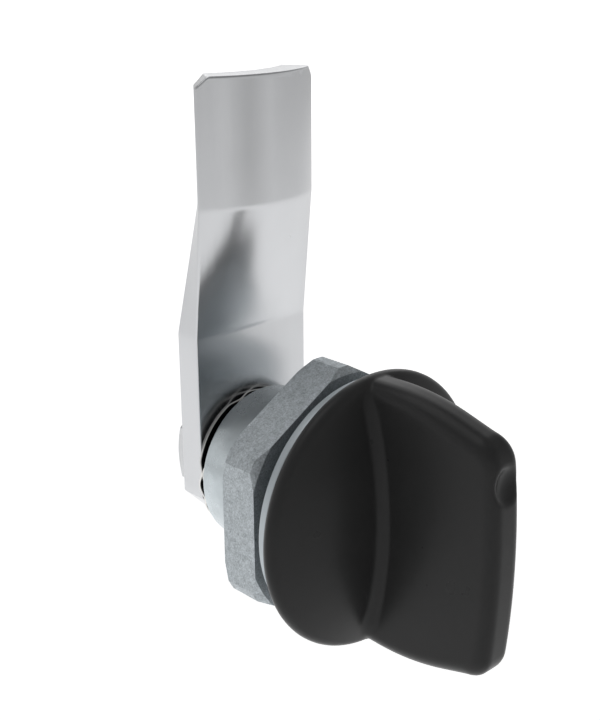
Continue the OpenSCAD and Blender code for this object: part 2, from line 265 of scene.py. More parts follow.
def draw_skin(field, low, high, cell):
    """Vertices and four-cornered faces of a closed skin over the field."""
    axes = [np.arange(a - 2 * cell, b + 2 * cell, cell) for a, b in zip(low, high)]
    inside = field(*np.meshgrid(*axes, indexing="ij", sparse=True)) < 0
    corners = sum(
        inside[i:inside.shape[0] - 1 + i, j:inside.shape[1] - 1 + j, k:inside.shape[2] - 1 + k].astype(int)
        for i in (0, 1) for j in (0, 1) for k in (0, 1)
    )
    crossed = (corners > 0) & (corners < 8)
    number = np.full(crossed.shape, -1)
    number[crossed] = np.arange(crossed.sum())
    points = np.stack([axes[d][c] + cell / 2 for d, c in enumerate(np.nonzero(crossed))], 1)
    faces = []
    for axis in range(3):
        first = np.moveaxis(inside, axis, 0)
        cells = np.moveaxis(number, axis, 0)
        change = first[1:, 1:-1, 1:-1] != first[:-1, 1:-1, 1:-1]
        i, j, k = np.nonzero(change)
        around = [cells[i, j, k], cells[i, j + 1, k], cells[i, j + 1, k + 1], cells[i, j, k + 1]]
        ring = np.stack(around, 1)
        outward = first[:-1, 1:-1, 1:-1][i, j, k]
        flip = outward if axis != 1 else ~outward
        ring[~flip] = ring[~flip][:, ::-1]
        faces.append(ring)
    return points, np.concatenate(faces)


def relax(points, faces):
    """Moves each vertex to the middle of its neighbours, which evens out the faces."""
    total = np.zeros_like(points)
    count = np.zeros(len(points))
    for a in range(4):
        for b in ((a + 1) % 4, (a + 3) % 4):
            np.add.at(total, faces[:, a], points[faces[:, b]])
            np.add.at(count, faces[:, a], 1)
    return total / count[:, None]


# %% Mesh of the knob
knob_cell = 0.32
relax_rounds = 3
points, faces = draw_skin(knob_field, knob_low, knob_high, knob_cell)
points = slide_onto(knob_field, points)
for _ in range(relax_rounds):
    points = slide_onto(knob_field, relax(points, faces), 1)
points = slide_onto(knob_field, points)
knob_mesh = bpy.data.meshes.new("knob")
knob_mesh.from_pydata(points.tolist(), [], faces.tolist())
print(f"knob: farthest vertex is {np.abs(knob_field(*points.T)).max():.4f} mm off its surface")

# %% [markdown]
# ## The pocket for the spindle
# The knob is moulded around the spindle's square plate and tongue. A rod and two blocks, a hair
# larger than the spindle, are taken out of the solid knob, so the two pieces don't overlap.

# %% Blocks and rods that cut the pocket
spindle_front = span("spindle")[0][1]
fit_gap = 0.05
overcut = 1.0
spindle_r = 7.0
plate_half = 7.5
plate_t = 2.0
plate_cover = 0.8
plate_back = knob_back - plate_cover
plate_front = plate_back - plate_t
tongue_half_w = 7.0
tongue_half_t = 0.9


def block_mesh(half_x, front, back, half_z):
    """A block about the axis, larger by the fit's gap all round, in millimetres."""
    low = np.array((-half_x, front, -half_z)) - fit_gap
    high = np.array((half_x, back, half_z)) + fit_gap
    bm = bmesh.new()
    bmesh.ops.create_cube(bm, size=1)
    for v in bm.verts:
        v.co = tuple(low + (high - low) * (np.array(v.co) + 0.5))
    return to_mesh(bm, "block")


def rod_mesh(radius, front, back, sides=128):
    """A round bar along Y between two depths, in millimetres."""
    bm = bmesh.new()
    bmesh.ops.create_cone(
        bm, cap_ends=True, segments=sides, radius1=radius, radius2=radius, depth=back - front,
    )
    lay_down = Matrix.Rotation(math.pi / 2, 4, "X")
    shift = Matrix.Translation((0, (front + back) / 2, 0))
    bmesh.ops.transform(bm, verts=bm.verts, matrix=shift @ lay_down)
    return to_mesh(bm, "rod")


# %% Cut the pocket
def carve(mesh, cutters):
    """The mesh with every cutter taken out of it."""
    body = bpy.data.objects.new("body", mesh)
    bpy.context.scene.collection.objects.link(body)
    tools = []
    for cutter in cutters:
        tool = bpy.data.objects.new("cutter", cutter)
        bpy.context.scene.collection.objects.link(tool)
        cut = body.modifiers.new("cut", "BOOLEAN")
        cut.object = tool
        cut.operation = "DIFFERENCE"
        cut.solver = "EXACT"
        tools.append(tool)
    result = bpy.data.meshes.new_from_object(body.evaluated_get(bpy.context.evaluated_depsgraph_get()))
    for thing in [body, *tools]:
        bpy.data.objects.remove(thing)
    return result


pocket = [
    rod_mesh(spindle_r + fit_gap, plate_back - overcut / 2, knob_back + overcut),
    block_mesh(plate_half, plate_front, plate_back, plate_half),
    block_mesh(tongue_half_t, spindle_front, plate_front, tongue_half_w),
]
knob = add_piece(
    "wing_knob_skin", carve(knob_mesh, pocket), "wing_knob", "rotor", weighted=False,
)

# %% [markdown]
# ## The housing
# The housing is a turned piece: a thin flange in front and a smooth barrel behind it, with one flat
# on the side away from the view, which keeps it from turning in its hole. A profile is turned about
# the axis, and its corners are rounded first, because a real edge is never quite sharp.

# %% Turn a profile about the axis
weld = 1e-5


def soften(profile, radius, steps=3, most=0.4):
    """A closed profile whose corners are small curves, each within a share of its two sides."""
    out = []
    for before, here, after in zip(profile[-1:] + profile[:-1], profile, profile[1:] + profile[:1]):
        here = np.array(here, float)
        to_before = np.array(before) - here
        to_after = np.array(after) - here
        reach = min(radius, most * np.linalg.norm(to_before), most * np.linalg.norm(to_after))
        a = here + to_before / np.linalg.norm(to_before) * reach
        b = here + to_after / np.linalg.norm(to_after) * reach
        for t in np.linspace(0, 1, steps + 1):
            out.append((1 - t) ** 2 * a + 2 * t * (1 - t) * here + t ** 2 * b)
    return out


def turn(profile, angles):
    """Edited mesh of a closed profile of (radius, depth) points turned about Y."""
    bm = bmesh.new()
    rings = [
        [bm.verts.new((r * math.cos(a), y, r * math.sin(a))) for r, y in profile]
        for a in angles
    ]
    count = len(profile)
    for ring, following in zip(rings, rings[1:] + rings[:1]):
        for k in range(count):
            n = (k + 1) % count
            bm.faces.new((ring[k], ring[n], following[n], following[k]))
    bmesh.ops.remove_doubles(bm, verts=bm.verts, dist=weld)
    return bm


# %% Sizes of the housing
housing_low, housing_high = span("housing")
flange_r = housing_high[0]
flange_front = housing_low[1]
barrel_end = housing_high[1]
barrel_r = 11.0
bore_r = 7.05
flange_bevel = 0.6
barrel_bevel = 0.3
flat_x = 10.05
edge_soft = 0.18
lug_outer_r = 8.9
lug_depth = 4.8
lug_start = 99.0
lug_end = 261.0
housing_step = 2
housing_crease = 40
print(f"housing: flange {2 * flange_r:.1f} mm across, barrel {2 * barrel_r:.1f} mm")

# %% Turn the housing and cut its flat
housing_profile = soften([
    (bore_r, flange_front),
    (flange_r - flange_bevel, flange_front),
    (flange_r, flange_front + flange_bevel),
    (flange_r, 0.0),
    (barrel_r, 0.0),
    (barrel_r, barrel_end - barrel_bevel),
    (barrel_r - barrel_bevel, barrel_end),
    (bore_r, barrel_end),
], edge_soft)
flat_turn = math.acos(flat_x / barrel_r)
housing_angles = sorted([*np.radians(np.arange(0, 360, housing_step)), flat_turn, 2 * math.pi - flat_turn])
housing_bm = turn(housing_profile, housing_angles)
for vertex in housing_bm.verts:
    if vertex.co.y > edge_soft and vertex.co.x > flat_x:
        vertex.co.x = flat_x
housing_mesh = to_mesh(housing_bm, "housing")
print(f"housing blank: {len(housing_mesh.vertices)} vertices")


# %% Cut the groove for the stop lug
def sector_mesh(inner, outer, front, back, start, end, steps=49):
    """Part of a ring along Y; its angles turn from +X towards -Z, as the latch turns."""
    bm = bmesh.new()
    section = [(inner, front), (outer, front), (outer, back), (inner, back)]
    rings = [
        [bm.verts.new((r * math.cos(a), y, -r * math.sin(a))) for r, y in section]
        for a in np.radians(np.linspace(start, end, steps))
    ]
    for ring, following in zip(rings, rings[1:]):
        for k in range(4):
            bm.faces.new((ring[k], ring[(k + 1) % 4], following[(k + 1) % 4], following[k]))
    bm.faces.new(rings[0])
    bm.faces.new(rings[-1])
    return to_mesh(bm, "sector")


groove = sector_mesh(
    bore_r - overcut, lug_outer_r, flange_front - overcut, flange_front + lug_depth, lug_start, lug_end,
)
housing = add_piece(
    "housing_skin", carve(housing_mesh, [groove]), "housing", "housing_body",
    crease=housing_crease,
)

# %% [markdown]
# ## Nut and screw
# A hexagon nut starts as a round blank, turned with bevelled faces, and then gets six flats. Here the
# blank is cut by six planes in the same way, so the curved lines where flat and bevel meet come out by
# themselves. The screw's head is made alike.

# %% Cut six flats on a turned blank
hex_crease = 20
bevel_slope = math.tan(math.radians(30))
# The blanks start half a degree off, so that none of their edges lies on the edge of a flat.
blank_start = 0.5


def cut_flats(bm, distance):
    """Cuts a blank by six planes around Y, two of them facing +X and -X."""
    for k in range(6):
        a = math.radians(60 * k)
        normal = Vector((math.cos(a), 0, math.sin(a)))
        cut = bmesh.ops.bisect_plane(
            bm, geom=[*bm.verts, *bm.edges, *bm.faces], dist=weld,
            plane_co=normal * distance, plane_no=normal, clear_outer=True,
        )
        edges = [e for e in cut["geom_cut"] if isinstance(e, bmesh.types.BMEdge)]
        bmesh.ops.holes_fill(bm, edges=edges, sides=0)
    return bm


def bevel_sharp(bm, angle_deg, width):
    """Rounds the edges where two faces meet at more than an angle."""
    limit = math.radians(angle_deg)
    sharp = [e for e in bm.edges if e.is_manifold and e.calc_face_angle() > limit]
    bmesh.ops.bevel(
        bm, geom=sharp, offset=width, segments=2, profile=0.5, affect="EDGES", clamp_overlap=True,
    )
    return len(sharp)


# %% Nut
nut_low, nut_high = span("hex_nut")
nut_af = nut_high[0] - nut_low[0]
nut_corner_r = nut_high[2]
nut_front, nut_back = nut_low[1], nut_high[1]
nut_bevel = 1.0
nut_bevel_h = nut_bevel * bevel_slope
nut_step = 1.5
nut_edge_r = 0.15
nut_sharp = 60
nut_bore_r = barrel_r + fit_gap
bore_bevel = 0.5

nut_profile = [
    (nut_bore_r, nut_front + bore_bevel),
    (nut_bore_r + bore_bevel, nut_front),
    (nut_corner_r - nut_bevel, nut_front),
    (nut_corner_r, nut_front + nut_bevel_h),
    (nut_corner_r, nut_back - nut_bevel_h),
    (nut_corner_r - nut_bevel, nut_back),
    (nut_bore_r + bore_bevel, nut_back),
    (nut_bore_r, nut_back - bore_bevel),
]
nut_blank = turn(nut_profile, np.radians(np.arange(blank_start, 360, nut_step)))
nut_bm = cut_flats(nut_blank, nut_af / 2)
rounded = bevel_sharp(nut_bm, nut_sharp, nut_edge_r)
print(f"nut: {nut_af:.1f} mm across flats, {rounded} edges rounded")
nut = add_piece(
    "hex_nut_skin", to_mesh(nut_bm, "nut"), "hex_nut", "housing_body", crease=hex_crease,
)

# %% Cam screw
screw_low, screw_high = span("cam_screw")
head_af = screw_high[0] - screw_low[0]
cam_low, cam_high = span("cam")
head_back = screw_high[1]
head_front = cam_high[1]
head_r = head_af / 2 / math.cos(math.radians(30))
head_bevel = 1.3
head_bevel_h = head_bevel * bevel_slope
shank_r = 3.95
shank_bevel = 0.6
screw_step = 2

screw_profile = [
    (0.0, screw_low[1]),
    (shank_r - shank_bevel, screw_low[1]),
    (shank_r, screw_low[1] + shank_bevel),
    (shank_r, head_front),
    (head_r, head_front),
    (head_r, head_back - head_bevel_h),
    (head_r - head_bevel, head_back),
    (0.0, head_back),
]
screw_blank = turn(screw_profile, np.radians(np.arange(blank_start, 360, screw_step)))
screw_bm = cut_flats(screw_blank, head_af / 2)
print(f"screw: {head_af:.1f} mm across flats")
screw = add_piece(
    "cam_screw_skin", to_mesh(screw_bm, "screw"), "cam_screw", "rotor", crease=hex_crease,
)

# %% [markdown]
# ## The cam
# The real cam is punched from 4 mm steel strip, its edges are tumbled, and it is then bent: forward
# in a ramp, and into a curve across its end. The mesh is made the same way. A flat blank gets rounded
# edges, is sliced into fine rows and columns, and every vertex is moved by one bending formula.

# %% Sizes of the cam
cam_crest = cam_low[1]
cam_back = cam_high[1]
cam_tail, cam_tip = cam_low[2], cam_high[2]
cam_t = 4.0
cam_front = cam_back - cam_t
cam_half = 9.75
end_half = cam_high[0]
end_r = 16.3
arc_half = math.asin(end_half / end_r)
bend_low, bend_high = 19.5, 37.0
bend_soft = 0.8
tail_chamfer = 7.0
tip_chamfer = 1.4
square_half = 5.05
cam_edge_r = 0.28
print(f"cam: {cam_tip - cam_tail:.1f} mm long, {cam_t:.1f} mm thick")


# %% The bending formula
def rise(d):
    """A straight rise that starts with a soft bend."""
    return d * d / (2 * bend_soft) if d < bend_soft else d - bend_soft / 2


def share_at(z):
    """How far the strip has gone from the flat hub to the curved end."""
    low = max(0.0, z - bend_low + bend_soft / 2)
    high = max(0.0, z - bend_high + bend_soft / 2)
    return (rise(low) - rise(high)) / (bend_high - bend_low)


def bent(x, depth, z):
    """Where a point of the flat blank goes."""
    angle = x / cam_half * arc_half
    end_y = cam_crest + end_r - (end_r - depth) * math.cos(angle)
    hub_y = cam_front + depth
    slope = math.atan((hub_y - end_y) / (bend_high - bend_low))
    share = share_at(z - depth * math.tan(slope / 2))
    across = x * (1 - share) + (end_r - depth) * math.sin(angle) * share
    return across, hub_y * (1 - share) + end_y * share, z


# %% Punch the blank
def cam_blank():
    """Flat plate with its cut corners and square hole, from depth 0 to the strip's thickness."""
    tip_x = math.asin((end_half - tip_chamfer) / end_r) / arc_half * cam_half
    outline = [
        (-cam_half, cam_tail + tail_chamfer), (-cam_half + tail_chamfer, cam_tail),
        (cam_half - tail_chamfer, cam_tail), (cam_half, cam_tail + tail_chamfer),
        (cam_half, cam_tip - tip_chamfer), (tip_x, cam_tip),
        (-tip_x, cam_tip), (-cam_half, cam_tip - tip_chamfer),
    ]
    hole = [(square_half * x, square_half * z) for x, z in ((-1, -1), (1, -1), (1, 1), (-1, 1))]
    bm = bmesh.new()
    for loop in (outline, hole):
        verts = [bm.verts.new((x, 0, z)) for x, z in loop]
        for a, b in zip(verts, verts[1:] + verts[:1]):
            bm.edges.new((a, b))
    bmesh.ops.triangle_fill(bm, use_beauty=True, edges=bm.edges[:])
    back = bmesh.ops.extrude_face_region(bm, geom=bm.faces[:])
    for item in back["geom"]:
        if isinstance(item, bmesh.types.BMVert):
            item.co.y = cam_t
    bmesh.ops.recalc_face_normals(bm, faces=bm.faces)
    return bm


cam_bm = cam_blank()
print(f"cam blank: {len(cam_bm.verts)} vertices")

# %% Round its edges, slice it and bend it
# Rows lie close together at the two bends and around the hole, and further apart elsewhere.
edge_angle = math.radians(80)
slice_weld = 1e-4
column_count = 42
rim = [e for e in cam_bm.edges if e.is_manifold and e.calc_face_angle() > edge_angle]
bmesh.ops.bevel(
    cam_bm, geom=rim, offset=cam_edge_r, segments=3, profile=0.5, affect="EDGES", clamp_overlap=True,
)
hole_rim = square_half + 2 * cam_edge_r
bend_steps = np.arange(-0.6, 1.3, 0.15)
hub_rows = [-hole_rim, hole_rim, *np.arange(cam_tail + 1.0, bend_low - 1, 1.5)]
bend_rows = [z + d for z in (bend_low, bend_high) for d in bend_steps]
ramp_rows = np.arange(bend_low + 2, bend_high - 1, 1.2)
end_rows = np.arange(bend_high + 3, cam_tip, 3)
rows = [*hub_rows, *bend_rows, *ramp_rows, *end_rows]
columns = [-hole_rim, hole_rim, *np.linspace(-cam_half, cam_half, column_count)[1:-1]]
for normal, places in ((Vector((0, 0, 1)), rows), (Vector((1, 0, 0)), columns)):
    for place in places:
        geom = [*cam_bm.verts, *cam_bm.edges, *cam_bm.faces]
        bmesh.ops.bisect_plane(
            cam_bm, geom=geom, dist=slice_weld, plane_co=normal * place, plane_no=normal,
        )
for vertex in cam_bm.verts:
    vertex.co = bent(*vertex.co)
cam = add_piece("cam_skin", to_mesh(cam_bm, "cam"), "cam", "rotor")

# %% [markdown]
# ## The wave spring
# A strip of spring steel winds twice round the axis, between the barrel and the cam. One turn lies on
# the cam and the other on the barrel, and in four pairs of places they bend towards each other and
# meet, which leaves dark lens-shaped gaps. A small rectangle with bevelled corners is carried along
# the two turns, and one formula gives its depth.

# %% Sizes of the wave spring
spring_low, spring_high = span("wave_spring")
spring_outer = spring_high[0]
spring_w = 2.7
spring_t = 0.25
spring_corner = 0.05
spring_step = 1.0
meeting_angle = 22.0
meeting_turn = -6.0
meeting_gap = 0.02
crossing_angle = meeting_turn + 45
crossing_half = 8.0
spring_room = spring_high[1] - spring_low[1] - spring_t
meeting_depth = (spring_room - spring_t - meeting_gap) / 2
print(f"wave spring: {spring_high[1] - spring_low[1]:.2f} mm of room")


# %% Depth of the strip along its two turns
def meeting(angle):
    """1 where the two turns meet, 0 where each lies on its own side."""
    off = (angle - meeting_turn + 45) % 90 - 45
    if abs(off) >= meeting_angle:
        return 0.0
    return (1 - math.cos(math.radians(360 * off / meeting_angle))) / 2


def strip_middle(angle):
    """Depth of the strip's middle: on the cam in the first turn, on the barrel in the second."""
    past = (angle - crossing_angle - 360 + crossing_half) / (2 * crossing_half)
    share = min(max(past, 0.0), 1.0)
    share = share * share * (3 - 2 * share)
    leaving = meeting_depth * meeting(angle)
    on_cam = spring_room - leaving
    return spring_low[1] + spring_t / 2 + on_cam * (1 - share) + leaving * share


# %% Carry the strip round
inner_r, outer_r = spring_outer - spring_w, spring_outer
half_t, corner = spring_t / 2, spring_corner
strip_section = [
    (outer_r, half_t - corner), (outer_r - corner, half_t),
    (inner_r + corner, half_t), (inner_r, half_t - corner),
    (inner_r, corner - half_t), (inner_r + corner, -half_t),
    (outer_r - corner, -half_t), (outer_r, corner - half_t),
]
strip_start = crossing_angle + crossing_half
strip_end = crossing_angle + 720 - crossing_half
strip_bm = bmesh.new()
strip_rings = []
for angle in np.arange(strip_start, strip_end, spring_step):
    a = math.radians(angle)
    middle = strip_middle(angle)
    strip_rings.append([
        strip_bm.verts.new((r * math.cos(a), middle + y, -r * math.sin(a)))
        for r, y in strip_section
    ])
for ring, following in zip(strip_rings, strip_rings[1:]):
    for k in range(len(strip_section)):
        n = (k + 1) % len(strip_section)
        strip_bm.faces.new((ring[k], ring[n], following[n], following[k]))
strip_bm.faces.new(strip_rings[0])
strip_bm.faces.new(strip_rings[-1])
spring = add_piece(
    "wave_spring_skin", to_mesh(strip_bm, "spring"), "wave_spring", "rotor",
)

# %% [markdown]
# ## Finishes
# Three effects return on several pieces, so each is a node group: cast grain, fine drawn lines and
# soft handling marks. A group puts out masks only. Each material has its own shader and decides what
# the masks do to its colour, roughness and relief.

# %% Small helpers for nodes
def node(tree, kind, **settings):
    """A new node with its settings and input values."""
    made = tree.nodes.new(kind)
    for key, value in settings.items():
        if hasattr(made, key):
            setattr(made, key, value)
        else:
            made.inputs[key.replace("_", " ")].default_value = value
    return made


def new_group(name, inputs, outputs):
    """An empty node group with named sockets."""
    tree = bpy.data.node_groups.new(name, "ShaderNodeTree")
    for label, default in inputs:
        socket = tree.interface.new_socket(label, in_out="INPUT", socket_type="NodeSocketFloat")
        socket.default_value = default
    for label in outputs:
        tree.interface.new_socket(label, in_out="OUTPUT", socket_type="NodeSocketFloat")
    return tree, tree.nodes.new("NodeGroupInput"), tree.nodes.new("NodeGroupOutput")


def ramp(tree, low, high):
    """A node that stretches values between low and high to the range 0 to 1."""
    made = node(tree, "ShaderNodeMapRange")
    made.inputs["From Min"].default_value = low
    made.inputs["From Max"].default_value = high
    return made


# %% Group: cast grain
clump_share = 0.35
grain_tree, grain_in, grain_out = new_group(
    "Cast grain", [("Scale", 1800.0), ("Clump Scale", 500.0)], ["Speckle", "Relief"],
)
where = node(grain_tree, "ShaderNodeTexCoord")
fine = node(grain_tree, "ShaderNodeTexNoise", Detail=2.0, Roughness=0.65)
clump = node(grain_tree, "ShaderNodeTexNoise", Detail=1.0)
link = grain_tree.links.new
for noise, size in ((fine, "Scale"), (clump, "Clump Scale")):
    link(where.outputs["Object"], noise.inputs["Vector"])
    link(grain_in.outputs[size], noise.inputs["Scale"])
mixed = node(grain_tree, "ShaderNodeMath", operation="MULTIPLY_ADD")
link(clump.outputs["Fac"], mixed.inputs[0])
mixed.inputs[1].default_value = clump_share
link(fine.outputs["Fac"], mixed.inputs[2])
stretch = ramp(grain_tree, low=0.42, high=0.95)
link(mixed.outputs[0], stretch.inputs["Value"])
link(stretch.outputs["Result"], grain_out.inputs["Speckle"])
link(fine.outputs["Fac"], grain_out.inputs["Relief"])
print("group made:", grain_tree.name)

# %% Group: drawn lines
along_strip = 0.03
drawn_tree, drawn_in, drawn_out = new_group("Drawn lines", [("Scale", 900.0)], ["Lines"])
where = node(drawn_tree, "ShaderNodeTexCoord")
squeeze = node(drawn_tree, "ShaderNodeMapping")
squeeze.inputs["Scale"].default_value = (1.0, 1.0, along_strip)
lines = node(drawn_tree, "ShaderNodeTexNoise", Detail=3.0, Roughness=0.6)
link = drawn_tree.links.new
link(where.outputs["Object"], squeeze.inputs["Vector"])
link(squeeze.outputs["Vector"], lines.inputs["Vector"])
link(drawn_in.outputs["Scale"], lines.inputs["Scale"])
link(lines.outputs["Fac"], drawn_out.inputs["Lines"])
print("group made:", drawn_tree.name)

# %% Group: handling marks
marks_tree, marks_in, marks_out = new_group("Handling marks", [("Scale", 90.0)], ["Marks"])
where = node(marks_tree, "ShaderNodeTexCoord")
cloud = node(marks_tree, "ShaderNodeTexNoise", Detail=4.0, Roughness=0.55)
link = marks_tree.links.new
link(where.outputs["Object"], cloud.inputs["Vector"])
link(marks_in.outputs["Scale"], cloud.inputs["Scale"])
spread = ramp(marks_tree, low=0.3, high=0.7)
link(cloud.outputs["Fac"], spread.inputs["Value"])
link(spread.outputs["Result"], marks_out.inputs["Marks"])
print("group made:", marks_tree.name)


# %% A material with its shader
def new_material(name):
    """A material, its tree and its shader."""
    made = bpy.data.materials.new(name)
    made.use_nodes = True
    print("finish:", name)
    return made, made.node_tree, made.node_tree.nodes["Principled BSDF"]


def give_finish(piece, material):
    """Puts one material on a whole piece."""
    piece.data.materials.clear()
    piece.data.materials.append(material)


def group_node(tree, group, **values):
    """A group placed in a material, with its own values."""
    placed = tree.nodes.new("ShaderNodeGroup")
    placed.node_tree = group
    for key, value in values.items():
        placed.inputs[key.replace("_", " ")].default_value = value
    return placed


def blend_colour(tree, mask, dark, light, socket):
    """A mask as a colour between two tones."""
    mix = node(tree, "ShaderNodeMix", data_type="RGBA")
    mix.inputs["A"].default_value = (*dark, 1)
    mix.inputs["B"].default_value = (*light, 1)
    tree.links.new(mask, mix.inputs["Factor"])
    tree.links.new(mix.outputs["Result"], socket)


def faded(tree, value, near, far, reach=1.0):
    """A value that goes evenly from near, at 0, to far, at its reach."""
    made = node(tree, "ShaderNodeMapRange")
    made.inputs["From Max"].default_value = reach
    made.inputs["To Min"].default_value = near
    made.inputs["To Max"].default_value = far
    tree.links.new(value, made.inputs["Value"])
    return made.outputs["Result"]


def spread_value(tree, mask, low, high, socket):
    """A mask as a number between low and high."""
    tree.links.new(faded(tree, mask, low, high), socket)


def scaled(tree, value, factor, added=None):
    """A node's value times a factor, plus another value."""
    made = node(tree, "ShaderNodeMath", operation="MULTIPLY_ADD")
    for socket, part in zip(made.inputs, (value, factor, added)):
        if isinstance(part, bpy.types.NodeSocket):
            tree.links.new(part, socket)
        elif part is not None:
            socket.default_value = part
    return made.outputs[0]


def relief(tree, mask, strength, height, shader):
    """A mask as small bumps."""
    bump = node(tree, "ShaderNodeBump")
    bump.inputs["Strength"].default_value = strength
    bump.inputs["Distance"].default_value = height
    tree.links.new(mask, bump.inputs["Height"])
    tree.links.new(bump.outputs["Normal"], shader.inputs["Normal"])


# %% Black moulded plastic
knob_plastic, tree, shader = new_material("knob plastic")
shader.inputs["Specular IOR Level"].default_value = 0.15
grain = group_node(tree, grain_tree, Scale=6000.0, Clump_Scale=900.0)
marks = group_node(tree, marks_tree, Scale=110.0)
blend_colour(
    tree, marks.outputs["Marks"], dark=(0.031, 0.031, 0.0313), light=(0.035, 0.035, 0.0353),
    socket=shader.inputs["Base Color"],
)
spread_value(tree, marks.outputs["Marks"], low=0.27, high=0.34, socket=shader.inputs["Roughness"])
relief(tree, grain.outputs["Relief"], strength=0.06, height=0.00003, shader=shader)
give_finish(knob, knob_plastic)

# %% Where the housing is turned and where it is as cast
# The barrel is turned bright. The flange in front of it is left as cast: darker and rougher. Its bevel,
# which the knob covers, is darker still: painted shade under the knob.
turned_from, turned_to = 0.0, 0.3 * MM
housing_zinc, tree, shader = new_material("housing zinc")
shader.inputs["Metallic"].default_value = 1.0
where = node(tree, "ShaderNodeTexCoord")
along = node(tree, "ShaderNodeSeparateXYZ")
tree.links.new(where.outputs["Object"], along.inputs["Vector"])
turned = ramp(tree, turned_from, turned_to)
bevel = ramp(tree, flange_front * MM, (flange_front + flange_bevel) * MM)
for mask in (turned, bevel):
    tree.links.new(along.outputs["Y"], mask.inputs["Value"])

# %% Bright zinc of the housing
cast_rough, mark_shine, turned_shine = 0.55, -0.1, -0.22
marks = group_node(tree, marks_tree, Scale=160.0)
grain = group_node(tree, grain_tree, Scale=5000.0, Clump_Scale=700.0)
metal = node(tree, "ShaderNodeMix", data_type="RGBA")
tree.links.new(turned.outputs["Result"], metal.inputs["Factor"])
# The dark end of this blend is painted shade on the flange's bevel, under the knob.
blend_colour(
    tree, bevel.outputs["Result"], dark=(0.19, 0.207, 0.217), light=(0.47, 0.51, 0.535),
    socket=metal.inputs["A"],
)
blend_colour(
    tree, marks.outputs["Marks"], dark=(0.43, 0.47, 0.49), light=(0.62, 0.675, 0.70),
    socket=metal.inputs["B"],
)
tree.links.new(metal.outputs["Result"], shader.inputs["Base Color"])
worn = scaled(tree, marks.outputs["Marks"], mark_shine, cast_rough)
polished = scaled(tree, turned.outputs["Result"], turned_shine, worn)
tree.links.new(polished, shader.inputs["Roughness"])
relief(tree, grain.outputs["Relief"], strength=0.04, height=0.00003, shader=shader)
give_finish(housing, housing_zinc)

# %% Grainy zinc of the nut
nut_zinc, tree, shader = new_material("nut zinc")
shader.inputs["Metallic"].default_value = 0.9
grain = group_node(tree, grain_tree, Scale=4200.0, Clump_Scale=1200.0)
blend_colour(
    tree, grain.outputs["Speckle"], dark=(0.322, 0.348, 0.364), light=(0.615, 0.66, 0.69),
    socket=shader.inputs["Base Color"],
)
spread_value(tree, grain.outputs["Speckle"], low=0.62, high=0.52, socket=shader.inputs["Roughness"])
relief(tree, grain.outputs["Relief"], strength=0.25, height=0.0001, shader=shader)
give_finish(nut, nut_zinc)

# %% Satin steel of the cam
cam_steel, tree, shader = new_material("cam steel")
shader.inputs["Metallic"].default_value = 1.0
drawn = group_node(tree, drawn_tree, Scale=1500.0)
marks = group_node(tree, marks_tree, Scale=70.0)
blend_colour(
    tree, marks.outputs["Marks"], dark=(0.605, 0.613, 0.628), light=(0.65, 0.658, 0.673),
    socket=shader.inputs["Base Color"],
)
spread_value(tree, drawn.outputs["Lines"], low=0.23, high=0.29, socket=shader.inputs["Roughness"])
relief(tree, drawn.outputs["Lines"], strength=0.015, height=0.00003, shader=shader)
give_finish(cam, cam_steel)

# %% Plated steel of the screw
screw_steel, tree, shader = new_material("screw steel")
shader.inputs["Metallic"].default_value = 1.0
marks = group_node(tree, marks_tree, Scale=240.0)
blend_colour(
    tree, marks.outputs["Marks"], dark=(0.55, 0.56, 0.57), light=(0.64, 0.65, 0.66),
    socket=shader.inputs["Base Color"],
)
spread_value(tree, marks.outputs["Marks"], low=0.28, high=0.40, socket=shader.inputs["Roughness"])
give_finish(screw, screw_steel)

# %% Spring steel, with painted shade on its flat sides
# The strip's flat sides are painted near black, as shade in the narrow gap between barrel and cam; its outer
# edge is bare and bright.
spring_steel, tree, shader = new_material("spring steel")
shader.inputs["Metallic"].default_value = 1.0
drawn = group_node(tree, drawn_tree, Scale=2600.0)
where = node(tree, "ShaderNodeTexCoord")
across = node(tree, "ShaderNodeVectorMath", operation="MULTIPLY")
across.inputs[1].default_value = (1, 0, 1)
tree.links.new(where.outputs["Object"], across.inputs[0])
from_axis = node(tree, "ShaderNodeVectorMath", operation="LENGTH")
tree.links.new(across.outputs["Vector"], from_axis.inputs[0])
bare = ramp(tree, (spring_outer - 3 * spring_corner) * MM, (spring_outer - spring_corner) * MM)
tree.links.new(from_axis.outputs["Value"], bare.inputs["Value"])
# Painted shade: near black on the flat sides, bare bright steel on the outer edge.
blend_colour(
    tree, bare.outputs["Result"], dark=(0.02, 0.02, 0.022), light=(0.78, 0.77, 0.75),
    socket=shader.inputs["Base Color"],
)
spread_value(tree, drawn.outputs["Lines"], low=0.3, high=0.4, socket=shader.inputs["Roughness"])
give_finish(spring, spring_steel)

# %% Spindle and seal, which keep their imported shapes
spindle_zinc, tree, shader = new_material("spindle zinc")
shader.inputs["Metallic"].default_value = 1.0
grain = group_node(tree, grain_tree, Scale=2400.0, Clump_Scale=600.0)
blend_colour(
    tree, grain.outputs["Speckle"], dark=(0.34, 0.345, 0.35), light=(0.50, 0.505, 0.51),
    socket=shader.inputs["Base Color"],
)
spread_value(tree, grain.outputs["Speckle"], low=0.45, high=0.35, socket=shader.inputs["Roughness"])

seal_rubber, tree, shader = new_material("seal rubber")
grain = group_node(tree, grain_tree, Scale=3500.0, Clump_Scale=800.0)
blend_colour(
    tree, grain.outputs["Speckle"], dark=(0.010, 0.010, 0.010), light=(0.022, 0.022, 0.022),
    socket=shader.inputs["Base Color"],
)
spread_value(tree, grain.outputs["Speckle"], low=0.65, high=0.80, socket=shader.inputs["Roughness"])
give_finish(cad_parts["spindle"], spindle_zinc)
give_finish(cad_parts["spindle_seal"], seal_rubber)

